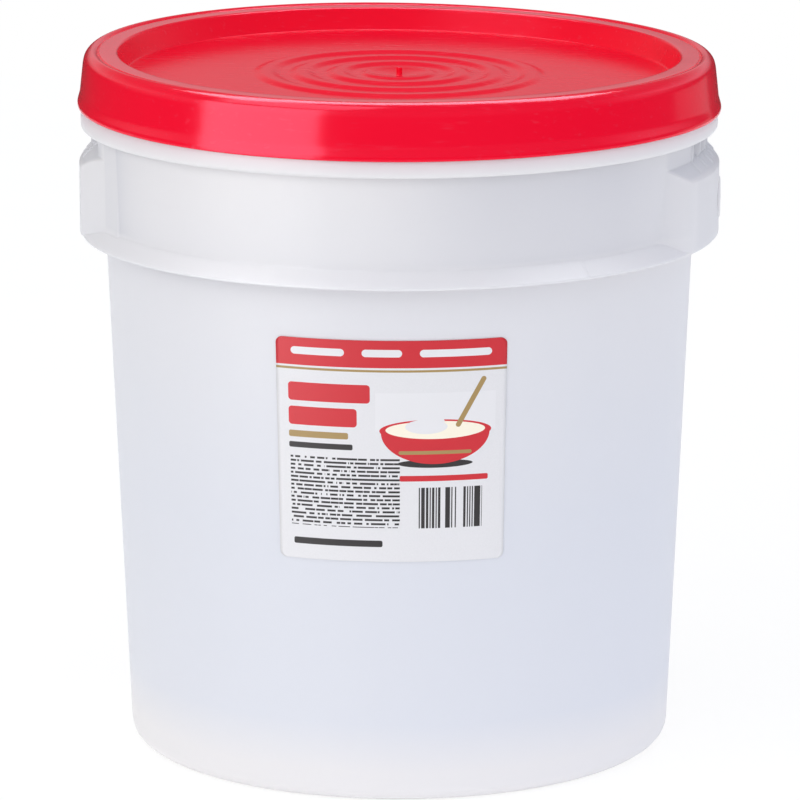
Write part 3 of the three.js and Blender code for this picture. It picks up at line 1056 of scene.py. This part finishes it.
@dataclass
class Lid:
    """The press-on lid: a recessed floor with ripples, a flat rim, a low bead and a flared skirt."""

    rim_top: float = 331.7
    bottom: float = 306.5
    edge_radius: float = 152.6
    skirt_inner: float = 151.5
    skirt: tuple[tuple[float, float], ...] = (
        (152.6, 308.4), (152.1, 310.1), (151.4, 312.6), (149.8, 326.7)
    )
    crown: tuple[tuple[float, float], ...] = (
        (149.2, 329.1), (148.2, 330.6), (147.0, 331.7), (145.6, 332.4)
    )
    bead_root: tuple[float, float] = (144.3, 332.2)
    groove_radius: float = 142.6
    groove_half: float = 0.6
    groove_depth: float = 0.8
    recess_radius: float = 133.5
    recess_depth: float = 10.8
    floor_radius: float = 129.6
    floor_start: float = 0.2
    wall: float = 2.6
    wall_spread: float = 1.0
    rim_inner: float = 148.7
    step: tuple[float, float] = (308.9, 310.7)
    tilt: float = 1.1
    twist: float = 1.35
    ring_first: float = 16.4
    ring_pitch: float = 8.47
    ring_count: int = 7
    ring_half: float = 2.8
    ring_rise: float = 1.3
    gate_radius: float = 1.4
    gate_height: float = 3.2
    dish_radius: float = 15.6
    dish_depth: float = 2.2
    dish_power: float = 0.5
    floor_points: int = 260
    floor_bend: float = 3.0
    gate_fillet: float = 1.2
    gate_cut: float = 0.5
    gate_steps: int = 4
    gate_end: float = 0.25
    edge_step: float = 3.0
    column_step: float = 2.0
    lower_cuts: tuple[float, ...] = (1.5, 2.0, 1.5, 0.5, 0.5, 0.2, 0.6)
    bend_cut: float = 3.0
    upper_cuts: tuple[float, ...] = (0.6, 0.3, 0.3, 0.2, 1.2, 1.0)

    def floor_line(self) -> np.ndarray:
        """Give the floor's top, inwards to the gate nub: smooth steps for ripples, a power for the dish."""
        floor = self.rim_top - self.recess_depth
        r = np.linspace(
            self.floor_radius - self.floor_bend, self.gate_radius + self.gate_fillet, self.floor_points
        )
        flank = self.ring_first + self.ring_pitch * np.arange(self.ring_count)
        t = np.clip((r[:, None] - flank) / (2 * self.ring_half) + 0.5, 0, 1)
        sign = np.where(np.arange(self.ring_count) % 2, 1.0, -1.0)
        step = (sign * smooth(t)).sum(axis=1) + 1.0
        dish = np.maximum(1 - r / self.dish_radius, 0) ** self.dish_power * self.dish_depth
        return np.stack([r, floor + self.ring_rise * step - dish], axis=1)

    def section(self) -> np.ndarray:
        """Give the closed section: under the floor, round the skirt, then over the top to the gate."""
        floor = self.rim_top - self.recess_depth
        under = self.rim_top - self.wall
        step_low, step_high = self.step
        underside = [
            [self.floor_radius * self.floor_start, floor - self.wall],
            [self.floor_radius + self.wall_spread, floor - self.wall],
            [self.recess_radius + self.wall, under],
            [self.rim_inner, under],
            [self.rim_inner, step_high],
            [self.skirt_inner, step_low],
            [self.skirt_inner, self.bottom],
            [self.edge_radius, self.bottom],
        ]
        top = [
            [self.groove_radius + self.groove_half, self.rim_top],
            [self.groove_radius, self.rim_top - self.groove_depth],
            [self.groove_radius - self.groove_half, self.rim_top],
            [self.recess_radius, self.rim_top],
            [self.floor_radius, floor],
            [self.floor_radius - self.floor_bend, floor],
        ]
        bends = [self.bend_cut] * len(self.skirt + self.crown)
        cuts = [*self.lower_cuts, *bends, *self.upper_cuts]
        corners = np.array([*underside, *self.skirt, *self.crown, self.bead_root, *top])
        edge = divided(eased(corners, np.array(cuts)), self.edge_step)
        line = self.floor_line()
        peak = floor + self.gate_height
        nub = np.array(
            [
                line[-1],
                [self.gate_radius, line[-1, 1]],
                [self.gate_radius, peak],
                [self.gate_radius * self.gate_end, peak],
            ]
        )
        gate = eased(nub, np.full(2, self.gate_cut), self.gate_steps)
        return np.vstack([edge[:-1], line[:-1], gate])

    def build(self, polished: RedPolyethylene, matt: RedPolyethylene) -> bpy.types.Object:
        """Make the lid: the section turned about +Z, then tilted and twisted to sit high at the back of -X.

        The height gains the tilt times y over the radius, and loses the twist times x over the radius times
        one plus y over the radius. The faces inside the recess take the matt finish.

        Args:
            polished: the plastic of the rim and skirt.
            matt: the plastic of the recess.

        Returns:
            The lid.
        """
        line = self.section()
        angles = np.arange(0, 360, self.column_step)
        grid = around(line[:, :1], line[:, 1:], angles)
        poles = np.array([[0, 0, line[0, 1]], [0, 0, line[-1, 1]]])
        across, along = grid[..., 0] / self.edge_radius, grid[..., 1] / self.edge_radius
        grid[..., 2] += self.tilt * along - self.twist * across * (1 + along)
        made = turned_piece("lid_cover", grid, poles, polished.material())
        made.data.materials.append(matt.material())
        row = np.arange(len(line) - 1)
        recess = (row >= line[:, 1].argmax()) & (line[:-1, 0] < self.recess_radius)
        fans = np.repeat([False, True], len(angles))
        panel = np.concatenate([np.repeat(recess, len(angles)), fans])
        made.data.polygons.foreach_set("material_index", panel.astype(np.int32))
        return made

    def dress(self, made: bpy.types.Object) -> None:
        """Fix the lid to the frame in place of the CAD lid."""
        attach(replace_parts(made, "lid"), BODY)


@dataclass
class Label:
    """The paper label on the front of the wall, with its print in fields and simple forms."""

    uv_name: ClassVar[str] = "print_mm"
    width: float = 103.6
    bottom: float = 116.7
    top: float = 221.0
    corner: float = 3.0
    turn: float = -1.6
    back: float = 0.05
    front: float = 0.35
    corner_points: int = 9
    side_points: int = 40
    top_points: int = 61
    wall_foot: float = Pail.wall_foot
    taper: float = Pail.taper

    def patches(self) -> tuple[PrintPatch, ...]:
        """Give the print: a red band, a bowl with a spoon, and bars that stand for words."""
        bar, disc = Shape.BAR, Shape.DISC
        return (
            PrintPatch(bar, Ink.RED, (0, 46.0), (60, 6.6)),
            PrintPatch(bar, Ink.PAPER, (-33, 46.2), (12, 1.7), 1.7),
            PrintPatch(bar, Ink.PAPER, (-4, 46.2), (9, 1.7), 1.7),
            PrintPatch(bar, Ink.PAPER, (29, 46.2), (16, 1.7), 1.7),
            PrintPatch(bar, Ink.GOLD, (0, 37.9), (60, 0.5)),
            PrintPatch(disc, Ink.DARK, (20, -5.6), (17, 2.0)),
            PrintPatch(disc, Ink.RED, (20, 9.0), (24.5, 14.8)),
            PrintPatch(bar, Ink.PAPER, (20, 18.6), (27, 9.0)),
            PrintPatch(disc, Ink.RED, (20, 9.8), (25.2, 5.4)),
            PrintPatch(disc, Ink.CREAM, (20, 10.2), (22.4, 4.2)),
            PrintPatch(disc, Ink.PAPER, (16, 11.8), (9.5, 3.4)),
            PrintPatch(disc, Ink.PAPER, (19, 14.0), (5.2, 3.0)),
            PrintPatch(bar, Ink.GOLD, (36, 23.0), (1.1, 13.0), 1.1, -28.0),
            PrintPatch(bar, Ink.GOLD, (20, -0.4), (16.5, 0.8), 0.8),
            PrintPatch(bar, Ink.RED, (-28, 27.0), (18.5, 4.3), 1.6),
            PrintPatch(bar, Ink.RED, (-31, 15.6), (15.5, 4.3), 1.6),
            PrintPatch(bar, Ink.GOLD, (-33, 7.0), (13.5, 1.5), 0.8),
            PrintPatch(bar, Ink.DARK, (-32, 1.8), (14.5, 1.3), 0.7),
            PrintPatch(bar, Ink.RED, (24, -12.6), (20, 1.3), 0.7),
            PrintPatch(Shape.LINES, Ink.DARK, (-21, -19.5), (25, 16.5)),
            PrintPatch(Shape.STRIPES, Ink.DARK, (27, -26.6), (14.5, 9.6)),
            PrintPatch(bar, Ink.DARK, (-24.5, -43.6), (20.5, 1.5), 0.8),
        )

    def build(self) -> bpy.types.Object:
        """Make the label: a rectangle with round corners, bent round the wall's cone.

        A place is across the label and up it. The half width is the plain one, less what a quarter circle
        takes off at the corners. Across becomes the angle about +Z whose sine is its share of the wall's
        middle radius, and the radius is the wall's at that height plus the paper's lift. A front and a back
        sheet share a rim of quads.

        Returns:
            The label.
        """
        half = (self.top - self.bottom) / 2
        straight = half - self.corner
        bend = straight + self.corner * np.sin(np.linspace(0, np.pi / 2, self.corner_points))
        up = np.concatenate([-bend[::-1], np.linspace(-straight, straight, self.side_points)[1:-1], bend])
        into = np.clip((np.abs(up) - straight) / self.corner, 0, 1)
        side = self.width / 2 - self.corner + self.corner * np.sqrt(1 - into**2)
        across = np.linspace(-1, 1, self.top_points)[None, :] * side[:, None]
        height = np.broadcast_to((up + (self.top + self.bottom) / 2)[:, None], across.shape)
        wall = self.wall_foot + self.taper * height
        middle = self.wall_foot + self.taper * (self.top + self.bottom) / 2
        angle = np.arcsin(np.clip(across / middle, -1, 1)) + math.radians(self.turn - 90)
        sheets = []
        for radius in (wall + self.front, wall + self.back):
            sheet = np.stack([radius * np.cos(angle), radius * np.sin(angle), height], axis=-1)
            sheets.append(sheet.reshape(-1, 3))
        rows, columns = across.shape
        here = np.arange(rows * columns).reshape(rows, columns)
        corners = [here[:-1, :-1], here[:-1, 1:], here[1:, 1:], here[1:, :-1]]
        quads = np.stack(corners, axis=-1).reshape(-1, 4)
        edge = np.concatenate([here[0, :-1], here[:-1, -1], here[-1, :0:-1], here[:0:-1, 0]])
        ahead = np.roll(edge, -1)
        rim = np.stack([ahead, edge, edge + rows * columns, ahead + rows * columns], axis=-1)
        faces = np.vstack([quads, quads[:, ::-1] + rows * columns, rim]).tolist()
        finish = CoatedPaper(self.patches())
        made = piece("label_sheet", np.vstack(sheets), faces, finish.material())
        flat = np.stack([across, np.broadcast_to(up[:, None], across.shape)], axis=-1).reshape(-1, 2)
        point = np.zeros(len(made.data.loops), dtype=np.int32)
        made.data.loops.foreach_get("vertex_index", point)
        place = np.tile(flat, (2, 1))[point]
        made.data.uv_layers.new(name=self.uv_name).data.foreach_set("uv", place.ravel())
        return made

    def dress(self, made: bpy.types.Object) -> None:
        """Fix the label to the frame in place of the CAD label."""
        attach(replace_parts(made, "label"), BODY)


@dataclass(frozen=True)
class SoftBox:
    """A lamp that faces the pail, with its place and size in metres and its power in watts."""

    name: str
    place: tuple[float, float, float]
    size: tuple[float, float]
    power: float
    role: Role
    aim_height: float = 0.2

    def build(self) -> bpy.types.Object:
        """Hang the lamp, turned about +Z and tipped so that it looks at a point on the pail's axis.

        Returns:
            The lamp.
        """
        data = bpy.data.lights.new(self.name, "AREA")
        data.shape = "RECTANGLE"
        data.size, data.size_y = self.size
        data.energy = self.power
        lamp = bpy.data.objects.new(self.name, data)
        x, y, z = self.place
        lamp.location = self.place
        lamp.visible_diffuse = self.role is Role.FILL
        lamp.visible_glossy = self.role is Role.GLEAM
        lamp.rotation_euler = (math.atan2(math.hypot(x, y), z - self.aim_height), 0.0, math.atan2(x, -y))
        bpy.context.scene.collection.objects.link(lamp)
        return lamp


@dataclass
class Studio:
    """Plain floor, soft light and the camera."""

    camera_place: tuple[float, float, float] = (0.0003, -2.4176, 0.71067)
    camera_pitch: float = 0.22312
    lens: float = 231.89
    sensor: float = 36.0
    sees_to: float = 60.0
    floor_radius: float = 2.0
    floor_step: float = 5.0
    below: float = 0.1
    low: float = 1.12
    high: float = 1.0
    screen: float = 0.55
    screen_way: tuple[float, float, float] = (-0.3, 0.95, 0.0)
    front_gleam: float = 0.15
    high_gleam: float = 0.3
    sky_left: str = "FFFFFF"
    sky_right: str = "E6EBF9"
    skyline: tuple[float, float] = (0.05, 0.2)
    climb: tuple[float, float] = (0.2, 0.9)
    screen_edge: tuple[float, float] = (0.1, 0.9)
    front_edge: tuple[float, float] = (-0.3, 0.2)
    overhead_edge: tuple[float, float] = (0.25, 0.5)
    cool_edge: tuple[float, float] = (-0.5, 0.9)
    lamps: tuple[SoftBox, ...] = (
        SoftBox("strip_box_left", (-0.936, -0.828, 0.45), (1.02, 0.9), 14.0, Role.GLEAM),
        SoftBox("strip_box_high", (-0.6, -0.53, 1.34), (1.0, 0.8), 9.0, Role.GLEAM),
        SoftBox("strip_box_over", (0.0, 0.25, 1.6), (2.0, 0.7), 42.0, Role.GLEAM),
        SoftBox("strip_box_right", (1.05, 0.76, 0.15), (0.7, 0.3), 0.2, Role.GLEAM),
        SoftBox("soft_box_left", (-0.62, -0.82, 0.8), (1.0, 0.5), 1.8, Role.FILL),
        SoftBox("soft_box_right", (0.9, -0.8, 0.08), (0.8, 0.15), 0.8, Role.FILL),
    )

    def floor(self) -> bpy.types.Object:
        """Make the floor: a round sheet under the pail, as a fan of triangles."""
        angles = np.arange(0, 360, self.floor_step)
        radius = self.floor_radius / MM
        points = np.vstack([around(np.array([[radius]]), np.zeros((1, 1)), angles)[0], np.zeros((1, 3))])
        here = np.arange(len(angles))
        faces = np.stack([here, np.roll(here, -1), np.full_like(here, len(angles))], axis=-1).tolist()
        made = piece("studio_floor", points, faces, StudioSweep().material())
        return made

    def world(self) -> None:
        """Fill the room with pale light, and let the camera see plain white past the floor's edge.

        The light follows the height of the ray: it is dim below the skyline, steps up there and eases off
        to the zenith. It is dimmer towards a screen behind the pail on the left, and cooler from the right.
        Glossy faces see it dimmer from the front and from overhead.
        """
        world = bpy.data.worlds.new("studio_light")
        world.use_nodes = True
        tree = world.node_tree
        tree.nodes.clear()
        way = put(tree, "TexCoord").outputs["Generated"]
        parts = put(tree, "SeparateXYZ", {0: way}).outputs
        towards = put(tree, "VectorMath", {0: way, 1: self.screen_way}, operation="DOT_PRODUCT")
        rays = put(tree, "LightPath").outputs
        ramps = (
            (parts["Z"], self.skyline, self.below, self.low),
            (parts["Z"], self.climb, 0.0, self.high - self.low),
            (towards.outputs["Value"], self.screen_edge, 1.0, self.screen),
            (parts["Y"], self.front_edge, self.front_gleam, 1.0),
            (parts["Z"], self.overhead_edge, 1.0, self.high_gleam),
            (parts["X"], self.cool_edge, 0.0, 1.0),
        )
        skyline, rise, screen, front, overhead, cool = (
            put(
                tree,
                "MapRange",
                {"Value": value, "From Min": a, "From Max": b, "To Min": first, "To Max": last},
            )
            for value, (a, b), first, last in ramps
        )
        height = put(tree, "Math", {0: skyline, 1: rise}, operation="ADD")
        dim = put(tree, "Math", {0: front, 1: overhead}, operation="MULTIPLY")
        gleam = put(tree, "Mix", {0: rays["Is Glossy Ray"], 2: 1.0, 3: dim})
        shade = put(tree, "Math", {0: screen, 1: gleam}, operation="MULTIPLY")
        glow = put(tree, "Math", {0: height, 1: shade}, operation="MULTIPLY")
        tint = put(
            tree,
            "Mix",
            {0: cool, 6: linear(self.sky_left), 7: linear(self.sky_right)},
            data_type="RGBA",
        )
        light = put(tree, "Background", {"Color": tint.outputs[2], "Strength": glow})
        white = put(tree, "Background", {"Color": (1.0, 1.0, 1.0, 1.0)})
        both = put(tree, "MixShader", {0: rays["Is Camera Ray"], 1: light, 2: white})
        put(tree, "OutputWorld", {"Surface": both})
        bpy.context.scene.world = world

    def camera(self) -> None:
        """Stand the camera at the photograph's place, with depth of field off."""
        data = bpy.data.cameras.new("camera")
        data.lens = self.lens
        data.sensor_width = self.sensor
        data.clip_end = self.sees_to
        camera = bpy.data.objects.new("camera", data)
        camera.location = self.camera_place
        camera.rotation_euler = (math.pi / 2 - self.camera_pitch, 0.0, 0.0)
        bpy.context.scene.collection.objects.link(camera)
        bpy.context.scene.camera = camera

    def build(self) -> None:
        """Set up the room, the lamps and the camera."""
        self.camera()
        self.world()
        self.floor()
        for lamp in self.lamps:
            lamp.build()
        view = bpy.context.scene.view_settings
        view.view_transform = "Standard"
        view.look = "None"


def main() -> None:
    """Load the frame, build the parts in order, dress them and log their face counts."""
    logging.basicConfig(level=logging.INFO, format="%(name)s: %(message)s")
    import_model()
    Studio().build()
    pail, lid, label = Pail(), Lid(), Label()
    shell = pail.build(NaturalPolyethylene())
    pail.dress(shell)
    polished = RedPolyethylene("red_polyethylene_polished", roughness=0.15, shine=0.4)
    cover = lid.build(polished, RedPolyethylene("red_polyethylene_matt", roughness=0.24, shine=0.1))
    lid.dress(cover)
    sheet = label.build()
    label.dress(sheet)
    for made in (*shell, cover, sheet):
        LOG.info("%s: %d faces", made.name, len(made.data.polygons))


if __name__ == "__main__":
    main()
